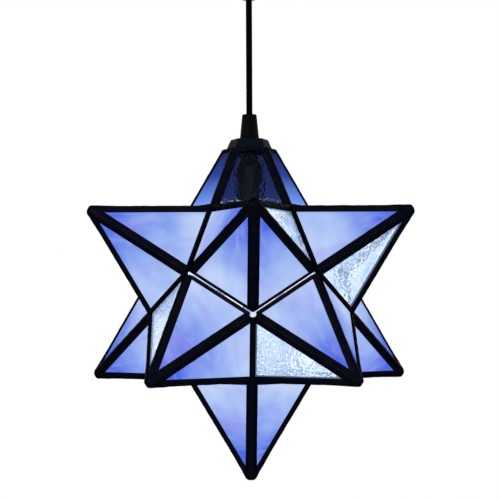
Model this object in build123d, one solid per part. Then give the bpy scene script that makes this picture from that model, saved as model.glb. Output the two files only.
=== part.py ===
# A twelve-pointed glass star lamp that hangs from the ceiling on a cord.
#
# The star is a small stellated dodecahedron: twelve hollow five-sided points stand on the
# twelve faces of a dodecahedron that has no walls of its own, so its inside is one open room.
# Each point is a cage of metal came that holds five panes, four of opal glass and one clear.
# The front upper point is a door: it hangs on a tube hinge along its top edge.
# The top point is cut off and carries the cap, the lampholder and the cord.
#
# Units are millimetres. The origin is on the ceiling, above the star; +Z is up and the
# front, where the door is, faces -Y.

from build123d import *
import math
import os

# ---------------------------------------------------------------- driving dimensions

# Star
pentagon_edge = 73.0  # base edge of every point; the star is 305 mm wide
tip_cut = 3.4  # how much of each sharp tip is blunted
tip_swell = 0.7  # extra solder at the end of a tip
tip_swell_length = 25.0  # over which it grows steadily towards the end
cap_opening_radius = 26.4  # corner radius of the cut-off top point, at the ideal glass surface

# Glass and came
glass_thickness = 3.0
glass_fit = 0.1  # putty gap round a pane
came_outer = 1.0  # thickness of the outer flange
came_inner = 0.8  # thickness of the inner flange
came_heart = 1.6  # metal between two panes that meet at a ridge
came_web = 1.1  # metal between a pane's foot and the next point
ridge_strip = 6.0  # visible width of came on each side of a ridge
valley_strip = 3.3  # visible width of came at a point's foot
top_strip = 4.5  # visible width of came under the cap
top_web = 1.5  # metal between a pane's top and the cap
ridge_round = 1.3

# Door
door_gap = 2.2
front_hole_radius = 3.2  # of the hole in the came at the door's lowest corner
left_hole_radius = 3.2
right_hole_radius = 2.2
hinge_tube_radius = 1.6
hinge_wire_radius = 0.8
hinge_running_gap = 0.06
hinge_clearance = 0.35  # between a tube and the other side's came
hinge_end_gap = 0.4
hinge_foot_width = 2.4
hinge_foot_inset = 0.5  # how far the door's feet reach in behind the hinge line
star_tube_length = 16.0
door_tube_length = 13.0
hinge_bead_radius = 1.35
hinge_bead_length = 1.2
stop_width = 9.0
stop_thickness = 1.0
stop_reach = 5.5
stop_lap = 0.3  # how far a stop's step runs in under the flange beside it
stop_clearance = 0.35

# Cap on the cut-off point
cap_foot_radius = 23.5
cap_top_radius = 19.2
cap_height = 9.3
cap_wall = 1.2
cap_round = 0.8

# Ceiling canopy and bracket
canopy_radius = 60.0
canopy_height = 28.0
canopy_wall = 1.0
canopy_round = 9.0
canopy_draft = 2.0  # how much narrower the canopy would be at its floor, but for the round
strap_width = 18.0
strap_thickness = 2.0
strap_ear_height = 15.0
strap_ear_gap = 1.6  # between an ear and the canopy's wall
slot_spacing = 76.0
slot_length = 14.0
slot_width = 5.0
canopy_screw_drop = 9.0
canopy_screw_radius = 2.0
canopy_screw_head_radius = 4.0
canopy_screw_head_height = 2.6
canopy_screw_head_round = 1.2
canopy_screw_length = 8.5
canopy_screw_slot = 1.0  # width and depth of the slot in the head

# Cord
cord_diameter = 6.0
cord_free_length = 111.0
cord_upper_length = 38.0  # the stretch that bends to the sides; the rest bends to front and back
core_radius = 1.0
core_spacing = 2.9
core_bend = 3.0
sheath_stand_out = 4.0  # how far the sheath goes past the ceiling tube

# Glands, threaded tubes and nuts
gland_height = 24.0
gland_wide_radius = 9.3
gland_narrow_radius = 6.9
gland_band_height = 1.5
gland_socket_depth = 9.0
gland_round = 0.5
gland_screw_height = 14.0
gland_screw_radius = 1.6
gland_screw_stand_out = 0.6
gland_screw_slot = 0.6
tube_radius = 5.0
tube_bore_radius = 4.0
tube_end_gap = 0.5  # between a tube's end and the end of the gland's socket
tube_stand_out = 2.0  # how far the ceiling tube stands past its nut
nut_across_flats = 14.0
nut_across_corners = 15.7  # its corners are turned down to this
nut_height = 3.0
washer_radius = 8.5
washer_thickness = 1.0
thread_fit = 0.05
hole_fit = 0.2  # round what passes loosely through a hole

# Terminal block in the canopy
block_length = 24.0
block_width = 16.0
block_height = 11.0
block_offset = 16.0
block_round = 1.5
block_pole_spacing = 8.0
clamp_screw_radius = 1.7
clamp_screw_height = 1.2
clamp_screw_sink = 1.0
clamp_screw_slot = 0.5
block_screw_radius = 1.5
block_screw_head_radius = 2.5
block_screw_head_height = 1.8
core_entry = 2.0  # how far a core goes into the block
core_loop = 5.5  # how far the nearer core stands out from the block
core_loop_step = 2.5  # how much further the other core stands out
core_rise = 4.0  # the height in which a core turns level

# Lampholder
holder_gap = 1.0  # between the nut and the lampholder
holder_neck_radius = 7.5
holder_neck_height = 9.0
holder_radius = 13.0
holder_wall = 2.0
holder_dome_height = 11.0
holder_skirt_height = 5.0
holder_body_height = 30.0
holder_taper = 0.5
holder_lip_height = 1.6
holder_lip_radius = 8.4
holder_spigot_height = 5.0
holder_spigot_wall = 1.6
holder_ledge = 1.2  # width of the ledge that the insert sits on
insert_height = 10.0
insert_drop = 1.0  # how far the insert's top is below the body's shoulder
insert_fit = 0.1
terminal_screw_radius = 1.6
terminal_screw_height = 1.4
terminal_stem_radius = 0.95
terminal_stem_length = 3.0
terminal_screw_slot = 0.5
terminal_reach = 5.2
sheath_drop = 2.0  # how far the sheath hangs out of the tube in the lampholder
core_drop = 4.0  # how far a core goes straight down before it spreads
core_spread = 4.5  # the height in which it spreads
shell_wall = 0.45
shell_length = 14.5
contact_thickness = 0.4
contact_width = 4.0
contact_length = 6.4
tongue_length = 3.6

# Bulb
bulb_thread_radius = 6.95
bulb_thread_fit = 0.1
bulb_cap_length = 13.5
bulb_cap_wall = 0.4
bulb_insulator_height = 3.6
bulb_insulator_top_radius = 2.8
bulb_insulator_foot_radius = 5.75
bulb_wire_hole_radius = 1.0
bulb_eyelet_radius = 2.4
bulb_eyelet_height = 0.9
bulb_collar_length = 19.0
bulb_collar_radius = 8.0
bulb_collar_waist_radius = 9.5
bulb_collar_waist_drop = 8.5
bulb_collar_wall = 1.6
bulb_seam_radius = 12.6
bulb_globe_radius = 22.5
bulb_globe_wall = 0.9
bulb_contact_gap = 0.15

# Modelling
overcut = 5.0  # how far a cutting shape runs past what it cuts
blunt = 0.5  # how far a cutting pyramid stops short of its peak
hair = 0.01  # lengths under this are rounding

# ---------------------------------------------------------------- geometry of the star

golden = (1 + math.sqrt(5)) / 2
corner = math.radians(72)  # between two corners of a pentagon
half_corner = corner / 2
base_corner_radius = pentagon_edge / (2 * math.sin(half_corner))
base_apothem = pentagon_edge / (2 * math.tan(half_corner))
ridge_length = pentagon_edge * golden
point_height = math.sqrt(ridge_length**2 - base_corner_radius**2)
base_distance = base_apothem * golden  # from the star's centre to a point's base
tip_distance = base_distance + point_height
lean = math.atan(base_apothem / point_height)  # of a pane from its point's axis
pane_height = math.hypot(point_height, base_apothem)
tip_half_angle = math.atan(pentagon_edge / 2 / pane_height)
half_dihedral = (math.pi - math.atan(2)) / 2  # between panes, at a ridge and in a valley
ring_lean = math.atan(0.5)  # of the ring points' axes from level
room_slope = base_apothem / base_distance  # of the planes from the star's centre to a base edge
room_lean = math.atan(room_slope)

slot_depth = glass_thickness + 2 * glass_fit
came_depth = slot_depth + came_inner
ridge_inset = slot_depth / math.tan(half_dihedral) + came_heart / 2
valley_inset = came_web / math.sin(half_dihedral)
door_shift = door_gap / math.sin(half_dihedral)  # of the door's foot, up its panes
cut_height = tip_distance - cap_opening_radius * point_height / base_corner_radius
pane_cut = (cut_height - base_distance) / math.cos(lean)  # the cut, measured up a pane

# ---------------------------------------------------------------- levels below the ceiling

cord_radius = cord_diameter / 2
canopy_floor = -canopy_height
ceiling_nut_foot = canopy_floor + canopy_wall
ceiling_nut_top = ceiling_nut_foot + nut_height
ceiling_tube_top = ceiling_nut_top + tube_stand_out
cord_top = canopy_floor - gland_height
cord_upper_foot = cord_top - cord_upper_length
cord_foot = cord_top - cord_free_length
cap_top = cord_foot - gland_height
cut_level = cap_top - cap_height
star_z = cut_level - cut_height
cap_underside = cap_top - cap_wall
washer_foot = cap_underside - washer_thickness
nut_foot = washer_foot - nut_height
holder_top = nut_foot - holder_gap
holder_neck_foot = holder_top - holder_neck_height
holder_dome_foot = holder_neck_foot - holder_dome_height
holder_joint = holder_dome_foot - holder_skirt_height
holder_foot = holder_joint - holder_body_height
insert_top = holder_joint - insert_drop
insert_foot = insert_top - insert_height
contact_foot = insert_foot - 2 * contact_thickness
bulb_top = contact_foot - bulb_contact_gap
bulb_insulator_top = bulb_top - bulb_eyelet_height
bulb_insulator_foot = bulb_insulator_top - bulb_insulator_height
bulb_cap_foot = bulb_insulator_foot - bulb_cap_length
bulb_collar_foot = bulb_cap_foot - bulb_collar_length
bulb_globe_z = bulb_collar_foot - math.sqrt(bulb_globe_radius**2 - bulb_seam_radius**2)

# ---------------------------------------------------------------- where the points stand

# name: (azimuth in degrees, +1 upper ring or -1 lower ring, which pane is clear)
ring_points = {
    "door": (0, 1, 1),
    "right_upper": (72, 1, 4),
    "back_right_upper": (144, 1, 0),
    "back_left_upper": (-144, 1, 3),
    "left_upper": (-72, 1, 3),
    "front_right_lower": (36, -1, 1),
    "right_lower": (108, -1, 3),
    "back_lower": (180, -1, 4),
    "left_lower": (-108, -1, 1),
    "front_left_lower": (-36, -1, 0),
}
top_clear_pane = 2
bottom_clear_pane = 2
# base corner of the door: radius of the hole there
corner_holes = {0: front_hole_radius, 1: right_hole_radius, 4: left_hole_radius}
holed_points = ("door", "right_upper", "left_upper", "front_right_lower", "front_left_lower")
door_stop_panes = (1, 3)


def ring_plane(azimuth, side):
    """A plane at the star's centre: Z out of the point, X to the base corner nearest the waist."""
    around = math.radians(azimuth)
    across = Vector(math.sin(around), -math.cos(around), 0)
    up = Vector(0, 0, side)
    outward = across * math.cos(ring_lean) + up * math.sin(ring_lean)
    towards_waist = across * math.sin(ring_lean) - up * math.cos(ring_lean)
    return Plane(origin=(0, 0, star_z), x_dir=towards_waist, z_dir=outward)


def top_plane():
    return Plane(origin=(0, 0, star_z), x_dir=(0, 1, 0), z_dir=(0, 0, 1))


def bottom_plane():
    return Plane(origin=(0, 0, star_z), x_dir=(0, -1, 0), z_dir=(0, 0, -1))


# ---------------------------------------------------------------- helpers


def rod_x(radius, low, high, y=0.0, z=0.0):
    """A round rod along X between two values of x."""
    return Pos((low + high) / 2, y, z) * Rot(0, 90, 0) * Cylinder(radius, high - low)


def rod_y(radius, low, high, x=0.0, z=0.0):
    """A round rod along Y between two values of y."""
    return Pos(x, (low + high) / 2, z) * Rot(90, 0, 0) * Cylinder(radius, high - low)


def rod_z(radius, low, high, x=0.0, y=0.0):
    """A round rod along Z between two levels."""
    return Pos(x, y, (low + high) / 2) * Cylinder(radius, high - low)


def ring(outer, bore, low, high):
    """A tube about the Z axis between two levels."""
    return rod_z(outer, low, high) - rod_z(bore, low, high)


def turned(profile):
    """A solid turned about the Z axis from a closed profile of (radius, level) corners."""
    return revolve(Plane.XZ * make_face(Polyline(*profile, close=True)), Axis.Z)


def bent_rod(points, radius, bend):
    """A round rod through points, with bends of one radius."""
    path = FilletPolyline(*points, radius=bend)
    start = Plane(origin=path @ 0, z_dir=path % 0)
    return sweep(start * Circle(radius), path=path)


def polyhedron(loops):
    """A solid from the corners of its flat faces."""
    faces = [Face(Wire.make_polygon([Vector(*p) for p in loop], close=True)) for loop in loops]
    return Solid(Shell(faces))


def pentagon_loop(height, apothem):
    radius = apothem / math.cos(half_corner)
    return [(radius * math.cos(k * corner), radius * math.sin(k * corner), height) for k in range(5)]


def pentagon_stack(*sections):
    """A solid through level pentagons, given as (height, apothem) from the lowest up."""
    rings = [pentagon_loop(height, apothem) for height, apothem in sections]
    loops = [rings[0][::-1], rings[-1]]
    for low, high in zip(rings, rings[1:]):
        for k in range(5):
            n = (k + 1) % 5
            loops.append([low[k], low[n], high[n], high[k]])
    return polyhedron(loops)


def hex_nut(low, high):
    hexagon = RegularPolygon(nut_across_flats / 2, 6, major_radius=False)
    flats = extrude(Pos(0, 0, low) * hexagon, high - low)
    turned_down = rod_z(nut_across_corners / 2, low, high)
    return (flats & turned_down) - rod_z(tube_radius + thread_fit, low, high)


def save(name, *shapes):
    """Writes one node, each of its pieces as a solid of its own."""
    solids = [solid for shape in shapes for solid in shape.solids()]
    node = solids[0] if len(solids) == 1 else Compound(solids)
    export_step(node, os.path.join("parts", name + ".step"))
    print(f"{name}: {len(solids)} solid(s), {sum(s.volume for s in solids):.1f} mm3")


# ---------------------------------------------------------------- one point of the star

# A point is modelled in its own frame: the star's centre at the origin, its tip on +Z and its
# base corners at 0, 72, 144... degrees. Pane k stands between corners k and k + 1.


def face_apothem(height, offset):
    """Apothem at a height of the five glass planes moved out by offset."""
    return (tip_distance - height) * math.tan(lean) + offset / math.cos(lean)


def room_apothem(height, gap):
    """Apothem at a height of the planes that part one point from the next."""
    return height * room_slope - gap / math.cos(room_lean)


def pyramid(low, high, offset):
    """The space inside the five glass planes moved out by offset, between two heights."""
    high = min(high, tip_distance + offset / math.sin(lean) - blunt)
    return pentagon_stack((low, face_apothem(low, offset)), (high, face_apothem(high, offset)))


def pane_plane(pane):
    """A plane on an outer glass face: origin in the middle of its foot, Y up the pane."""
    middle = half_corner + pane * corner
    out = (math.cos(middle), math.sin(middle))
    return Plane(
        origin=(base_apothem * out[0], base_apothem * out[1], base_distance),
        x_dir=(-out[1], out[0], 0),
        z_dir=(math.cos(lean) * out[0], math.cos(lean) * out[1], math.sin(lean)),
    )


def pane_outline(ridge_in, foot_in, top=None):
    """The corners of a pane drawn in from its ridges and foot, cut level at top if that is given."""
    peak = pane_height - ridge_in / math.sin(tip_half_angle)
    half_foot = (peak - foot_in) * math.tan(tip_half_angle)
    if top is None:
        return [(-half_foot, foot_in), (half_foot, foot_in), (0, peak)]
    half_top = (peak - top) * math.tan(tip_half_angle)
    return [(-half_foot, foot_in), (half_foot, foot_in), (half_top, top), (-half_top, top)]


def pane_prism(pane, outline, outside, depth):
    """A plate on a pane, from outside above the glass face to depth below that."""
    plane = pane_plane(pane).offset(outside)
    return extrude(plane * make_face(Polyline(*outline, close=True)), amount=-depth)


def point_shell(gap, top):
    """The came's full wall before it is cut for glass, up to the level top."""
    low = base_distance - came_depth - overcut
    outer = pyramid(low, top, came_outer)
    ridges = outer.edges().filter_by(lambda e: abs((e % 0).Z) > hair)
    outer = fillet(ridges, ridge_round)
    inner = pyramid(low - overcut, top + overcut, -came_depth)
    beyond = tip_distance + overcut
    below = low - overcut
    room = pentagon_stack((below, room_apothem(below, gap)), (beyond, room_apothem(beyond, gap)))
    return (outer - inner) & room


def tip_bead():
    """The solder at the end of a point, which thickens steadily towards the blunt end."""
    top = tip_distance - tip_cut
    start = top - tip_swell_length
    end_apothem = face_apothem(top, came_outer + tip_swell)
    bead = pentagon_stack((start, face_apothem(start, came_outer)), (top, end_apothem))
    rounded = bead.edges().filter_by(lambda e: e.center().Z > start + hair)
    bead = fillet(rounded, ridge_round)
    return bead - pyramid(start - overcut, top, -came_depth)


def point_cage(gap=0.0, top=None):
    """The came of one point: a shell with a window and a groove for each pane."""
    shift = gap / math.sin(half_dihedral)
    window_top = None if top is None else pane_cut - top_strip
    groove_top = None if top is None else pane_cut - top_web
    shell = point_shell(gap, tip_distance - tip_cut if top is None else top)
    if top is None:
        shell = shell + tip_bead()
    outside = came_outer + tip_swell + overcut
    for pane in range(5):
        window = pane_outline(ridge_strip, valley_strip + shift, window_top)
        groove = pane_outline(ridge_inset - glass_fit, valley_inset + shift - glass_fit, groove_top)
        shell = shell - pane_prism(pane, window, outside, outside + came_depth + overcut)
        shell = shell - pane_prism(pane, groove, 0, slot_depth)
    return shell


def corner_hole(number, radius):
    """A rod through a base corner of the door, on the line from the star's centre, where it starts."""
    around = number * corner
    along = Vector(
        base_corner_radius * math.cos(around), base_corner_radius * math.sin(around), base_distance
    )
    rod = Cylinder(radius, 2 * along.length, align=(Align.CENTER, Align.CENTER, Align.MIN))
    azimuth, side, _ = ring_points["door"]
    return ring_plane(azimuth, side).location * (Plane(origin=(0, 0, 0), z_dir=along) * rod)


def pane_glass(pane, gap=0.0, cut=False):
    """One pane of a point."""
    shift = gap / math.sin(half_dihedral)
    top = pane_cut - top_web - glass_fit if cut else None
    outline = pane_outline(ridge_inset, valley_inset + shift, top)
    return pane_prism(pane, outline, -glass_fit, glass_thickness)


def save_point(name, plane, cage, clear_pane, gap=0.0, cut=False):
    """Writes a point's came and opal panes, and returns its clear pane."""
    place = plane.location
    placed_cage = place * cage
    if name in holed_points:
        for number, radius in corner_holes.items():
            placed_cage = placed_cage - corner_hole(number, radius)
    save(name + "_point_came", placed_cage)
    opal = [place * pane_glass(pane, gap, cut) for pane in range(5) if pane != clear_pane]
    save(name + "_point_opal_panes", *opal)
    return place * pane_glass(clear_pane, gap, cut)


def make_star():
    standard = point_cage()
    fixed_clear = []
    for name, (azimuth, side, clear_pane) in ring_points.items():
        plane = ring_plane(azimuth, side)
        if name == "door":
            clear = save_point(name, plane, point_cage(gap=door_gap), clear_pane, gap=door_gap)
            save("door_point_clear_pane", clear)
        else:
            fixed_clear.append(save_point(name, plane, standard, clear_pane))
    fixed_clear.append(save_point("bottom", bottom_plane(), standard, bottom_clear_pane))
    fixed_clear.append(save_point("top", top_plane(), point_cage(top=cut_height), top_clear_pane, cut=True))
    save("fixed_clear_panes", *fixed_clear)


# ---------------------------------------------------------------- door hinge and stops

# The hinge line lies in the valley over the door's level top pane, as far from the top point's
# front pane as from the door's, so that each tube clears the other side's came.
hinge_stand_off = came_outer + hinge_tube_radius + hinge_clearance
hinge_y = -base_apothem - hinge_stand_off * (1 - math.sin(lean)) / math.cos(lean)
hinge_z = star_z + base_distance + hinge_stand_off
hinge_from_edge = hinge_stand_off / math.tan(half_dihedral)  # of the hinge line, along a pane


def hinge_tube(low, high, turn, foot_from, foot_to):
    """A tube on the hinge line from x = low to high, with a solder foot on the came under it.

    Before the turn about X the foot points down. It reaches from foot_from to foot_to, measured
    forwards from the hinge line.
    """
    drop = hinge_tube_radius + hinge_clearance
    middle = (low + high) / 2
    tube = rod_x(hinge_tube_radius, low, high)
    foot = Pos(middle, -(foot_from + foot_to) / 2, -drop / 2) * Box(high - low, foot_to - foot_from, drop)
    bore = rod_x(hinge_wire_radius + hinge_running_gap, low, high)
    return Pos(0, hinge_y, hinge_z) * Rot(turn, 0, 0) * (tube + foot - bore)


def make_hinge():
    star_end = star_tube_length / 2
    door_start = star_end + hinge_end_gap
    door_end = door_start + door_tube_length
    steepness = 90 - math.degrees(lean)  # of the top point's front pane
    half_foot = hinge_foot_width / 2
    save("hinge_tube_star", hinge_tube(-star_end, star_end, steepness, -half_foot, half_foot))
    door_foot_end = valley_strip + door_shift - hinge_from_edge
    right = hinge_tube(door_start, door_end, 0, -hinge_foot_inset, door_foot_end)
    left = hinge_tube(-door_end, -door_start, 0, -hinge_foot_inset, door_foot_end)
    save("hinge_tubes_door", left, right)
    wire_end = door_end + hinge_end_gap
    bead_end = wire_end + hinge_bead_length
    wire = rod_x(hinge_wire_radius, -wire_end, wire_end, hinge_y, hinge_z)
    for low, high in ((-bead_end, -wire_end), (wire_end, bead_end)):
        wire = wire + rod_x(hinge_bead_radius, low, high, hinge_y, hinge_z)
    save("hinge_wire", wire)


def make_stops():
    """Two tabs on the points beside the door; the closed door rests on them."""
    flange = base_distance - came_depth  # inner face of the next points' came
    inner_edge = room_apothem(flange, 0) - stop_lap
    door_inner_foot = face_apothem(0, -came_depth) - room_apothem(0, door_gap)
    door_inner_foot = door_inner_foot / (room_slope + math.tan(lean))
    foot = flange - stop_thickness
    rise = door_inner_foot - stop_clearance - foot
    plate = Box(stop_reach, stop_width, stop_thickness, align=(Align.MIN, Align.CENTER, Align.MIN))
    step = Box(stop_reach, stop_width, rise, align=(Align.MAX, Align.CENTER, Align.MIN))
    tab = Pos(inner_edge, 0, foot) * (plate + step)
    place = ring_plane(*ring_points["door"][:2]).location
    turns = [math.degrees(half_corner + pane * corner) for pane in door_stop_panes]
    save("door_stop_tabs", *[place * Rot(0, 0, turn) * tab for turn in turns])


# ---------------------------------------------------------------- cap, glands and cord


def make_cap():
    """The five-sided cap on the cut-off top point, with a hole for the threaded tube."""
    foot = cap_foot_radius * math.cos(half_corner)
    top = cap_top_radius * math.cos(half_corner)
    slope = (foot - top) / cap_height
    outer = pentagon_stack((0, foot), (cap_height, top))
    outer = fillet(outer.edges().filter_by(lambda e: e.center().Z > hair), cap_round)
    ceiling = cap_height - cap_wall
    inner = pentagon_stack(
        (-overcut, foot - cap_wall + slope * overcut), (ceiling, foot - cap_wall - slope * ceiling)
    )
    hole = rod_z(tube_radius + hole_fit, -overcut, cap_height + overcut)
    save("star_cap", Pos(0, 0, cut_level) * Rot(0, 0, 90) * (outer - inner - hole))


def gland():
    """A tapered cord gland standing on its wide end at the origin."""
    body = turned(
        [
            (cord_radius + hole_fit, gland_socket_depth),
            (tube_radius + thread_fit, gland_socket_depth),
            (tube_radius + thread_fit, 0),
            (gland_wide_radius, 0),
            (gland_wide_radius, gland_band_height),
            (gland_narrow_radius, gland_height),
            (cord_radius + hole_fit, gland_height),
        ]
    )
    body = fillet(body.edges().filter_by(GeomType.CIRCLE).group_by(Axis.Z)[-1], gland_round)
    screw_way = rod_y(
        gland_screw_radius + thread_fit, 0, gland_wide_radius + overcut, z=gland_screw_height
    )
    return body - screw_way


def gland_screw():
    """The slotted grub screw in the back of a gland; its end presses on the cord."""
    end = gland_wide_radius + gland_screw_stand_out
    screw = rod_y(gland_screw_radius, cord_radius + thread_fit, end, z=gland_screw_height)
    slot = Box(2 * gland_wide_radius, 2 * gland_screw_slot, gland_screw_slot)
    return screw - Pos(0, end, gland_screw_height) * slot


def make_glands():
    star_place = Pos(0, 0, cap_top)
    ceiling_place = Pos(0, 0, canopy_floor) * Rot(0, 180, 0)
    save("star_gland", star_place * gland())
    save("star_gland_screw", star_place * gland_screw())
    save("canopy_gland", ceiling_place * gland())
    save("canopy_gland_screw", ceiling_place * gland_screw())


def make_cord():
    """The free cord, pulled straight by the star, in the two stretches that bend one after the other."""
    save("cord_upper", rod_z(cord_radius, cord_upper_foot, cord_top))
    save("cord_lower", rod_z(cord_radius, cord_foot, cord_upper_foot))
    section = math.pi * cord_radius**2
    print(f"cord: straight, so it has no bend radii; section x length {section * cord_free_length:.1f} mm3")


# ---------------------------------------------------------------- ceiling fitting


def canopy_side(level):
    """The canopy's outer radius at a level; the draft makes it narrower downwards."""
    return canopy_radius + canopy_draft * level / canopy_height


def canopy_body(inset, floor, rim):
    """A solid with the canopy's shape moved in by inset, from floor up to rim."""
    foot_radius = canopy_side(floor) - inset
    rim_radius = canopy_side(rim) - inset
    profile = make_face(
        Polyline((0, floor), (foot_radius, floor), (rim_radius, rim), (0, rim), close=True)
    )
    foot_corner = profile.vertices().sort_by(Axis.Y)[:2].sort_by(Axis.X)[-1]
    return revolve(Plane.XZ * fillet(foot_corner, canopy_round - inset), Axis.Z)


def make_canopy():
    outer = canopy_body(0, canopy_floor, 0)
    inner = canopy_body(canopy_wall, ceiling_nut_foot, overcut)
    tube_hole = rod_z(tube_radius + hole_fit, canopy_floor - overcut, canopy_floor + overcut)
    screw_end = canopy_radius + overcut
    screw_holes = rod_x(canopy_screw_radius + hole_fit, -screw_end, screw_end, z=-canopy_screw_drop)
    save("canopy", outer - inner - tube_hole - screw_holes)


def make_bracket():
    """The strap that is screwed to the ceiling; the canopy's screws go into its ears."""
    ear_face = canopy_side(-canopy_screw_drop) - canopy_wall - strap_ear_gap
    top = (Align.CENTER, Align.CENTER, Align.MAX)
    strap = Box(2 * ear_face, strap_width, strap_thickness, align=top)
    for side in (-1, 1):
        ear = Box(strap_thickness, strap_width, strap_ear_height, align=top)
        strap = strap + Pos(side * (ear_face - strap_thickness / 2), 0, 0) * ear
        slot = SlotOverall(slot_length, slot_width)
        slot = Pos(side * slot_spacing / 2, 0, -strap_thickness - overcut) * slot
        strap = strap - extrude(slot, strap_thickness + 2 * overcut)
    screw_way = canopy_screw_radius + thread_fit
    screw_holes = rod_x(screw_way, -canopy_radius, canopy_radius, z=-canopy_screw_drop)
    block_way = block_screw_radius + thread_fit
    block_hole = rod_z(block_way, -strap_thickness - overcut, overcut, block_screw_x)
    save("mounting_bracket", strap - screw_holes - block_hole)


def canopy_screw():
    """A round-headed slotted screw along +X, its head up against the canopy's sloping side."""
    slope = canopy_draft / canopy_height
    seat = canopy_side(-canopy_screw_drop) + canopy_screw_head_radius * slope + thread_fit
    end = seat + canopy_screw_head_height
    head = rod_x(canopy_screw_head_radius, seat, end)
    head = fillet(head.edges().sort_by(Axis.X)[-1], canopy_screw_head_round)
    slot = Pos(end, 0, 0) * Box(2 * canopy_screw_slot, 3 * canopy_screw_head_radius, canopy_screw_slot)
    shank = rod_x(canopy_screw_radius, seat - canopy_screw_length, seat)
    return head + shank - slot


def make_canopy_screws():
    right = Pos(0, 0, -canopy_screw_drop) * canopy_screw()
    save("canopy_screws", right, Rot(0, 0, 180) * right)


def make_ceiling_tube():
    low = canopy_floor - gland_socket_depth + tube_end_gap
    save("canopy_threaded_tube", ring(tube_radius, tube_bore_radius, low, ceiling_tube_top))
    save("canopy_locknut", hex_nut(ceiling_nut_foot, ceiling_nut_top))


block_top = -strap_thickness
block_foot = block_top - block_height
block_middle = (block_top + block_foot) / 2
block_screw_x = block_offset + block_pole_spacing / 2  # between two poles


def make_terminal_block():
    """Three poles in a row, each a way for the wires with a clamping screw at either end."""
    half_width = block_width / 2
    block = Pos(block_offset, 0, block_middle) * Box(block_length, block_width, block_height)
    block = fillet(block.edges().filter_by(Axis.Z), block_round)
    screws = []
    for pole in (-1, 0, 1):
        x = block_offset + pole * block_pole_spacing
        way_end = half_width + overcut
        block = block - rod_y(core_radius + hole_fit, -way_end, way_end, x, block_middle)
        for y in (-half_width / 2, half_width / 2):
            low = block_foot + clamp_screw_sink
            high = low + clamp_screw_height
            block = block - rod_z(clamp_screw_radius + thread_fit, block_foot - overcut, high, x, y)
            slot = Pos(x, y, low) * Box(3 * clamp_screw_radius, clamp_screw_slot, 2 * clamp_screw_slot)
            screws.append(rod_z(clamp_screw_radius, low, high, x, y) - slot)
    head_top = block_foot + block_screw_head_height
    block = block - rod_z(block_screw_radius + hole_fit, block_foot - overcut, overcut, block_screw_x)
    block = block - rod_z(block_screw_head_radius + hole_fit, block_foot - overcut, head_top, block_screw_x)
    save("terminal_block", block)
    save("terminal_clamp_screws", *screws)
    head = rod_z(block_screw_head_radius, block_foot, head_top, block_screw_x)
    slot = Pos(block_screw_x, 0, block_foot)
    slot = slot * Box(3 * block_screw_head_radius, 2 * clamp_screw_slot, 2 * clamp_screw_slot)
    save("terminal_block_screw", head + rod_z(block_screw_radius, head_top, 0, block_screw_x) - slot)


def make_canopy_cord_end():
    """The sheath through the ceiling gland, and the two cores from it into the terminal block."""
    sheath_top = ceiling_tube_top + sheath_stand_out
    cores = []
    for pole, side in ((-1, -1), (0, 1)):
        x = block_offset + pole * block_pole_spacing
        start_x = side * core_spacing / 2
        loop_y = -block_width / 2 - core_loop - (core_loop_step if side > 0 else 0)
        points = [
            (start_x, 0, sheath_top),
            (start_x, 0, sheath_top + core_rise),
            (start_x, loop_y, block_middle - core_rise),
            (x, loop_y, block_middle),
            (x, core_entry - block_width / 2, block_middle),
        ]
        cores.append(bent_rod(points, core_radius, core_bend))
    save("canopy_cord_end", rod_z(cord_radius, cord_top, sheath_top), *cores)


# ---------------------------------------------------------------- lampholder

holder_inside = holder_radius - holder_wall
spigot_radius = holder_inside - insert_fit
insert_seat_radius = spigot_radius - holder_spigot_wall
holder_bore = insert_seat_radius - holder_ledge


def make_star_tube():
    high = cap_top + gland_socket_depth - tube_end_gap
    save("star_threaded_tube", ring(tube_radius, tube_bore_radius, holder_neck_foot, high))
    save("cap_washer", ring(washer_radius, tube_radius + hole_fit, washer_foot, cap_underside))
    save("cap_locknut", hex_nut(nut_foot, washer_foot))


def make_holder_cap():
    save(
        "holder_cap",
        turned(
            [
                (tube_radius + thread_fit, holder_top),
                (holder_neck_radius, holder_top),
                (holder_neck_radius, holder_neck_foot),
                (holder_radius, holder_dome_foot),
                (holder_radius, holder_joint),
                (holder_inside, holder_joint),
                (holder_inside, holder_dome_foot),
                (tube_radius + thread_fit, holder_neck_foot - insert_drop),
            ]
        ),
    )


def make_holder_body():
    lip_top = holder_foot + holder_lip_height
    save(
        "holder_body",
        turned(
            [
                (insert_seat_radius, insert_foot),
                (insert_seat_radius, holder_joint + holder_spigot_height),
                (spigot_radius, holder_joint + holder_spigot_height),
                (spigot_radius, holder_joint),
                (holder_radius, holder_joint),
                (holder_radius - holder_taper, holder_foot),
                (holder_lip_radius, holder_foot),
                (holder_lip_radius, lip_top),
                (holder_bore, lip_top),
                (holder_bore, insert_foot),
            ]
        ),
    )


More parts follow.
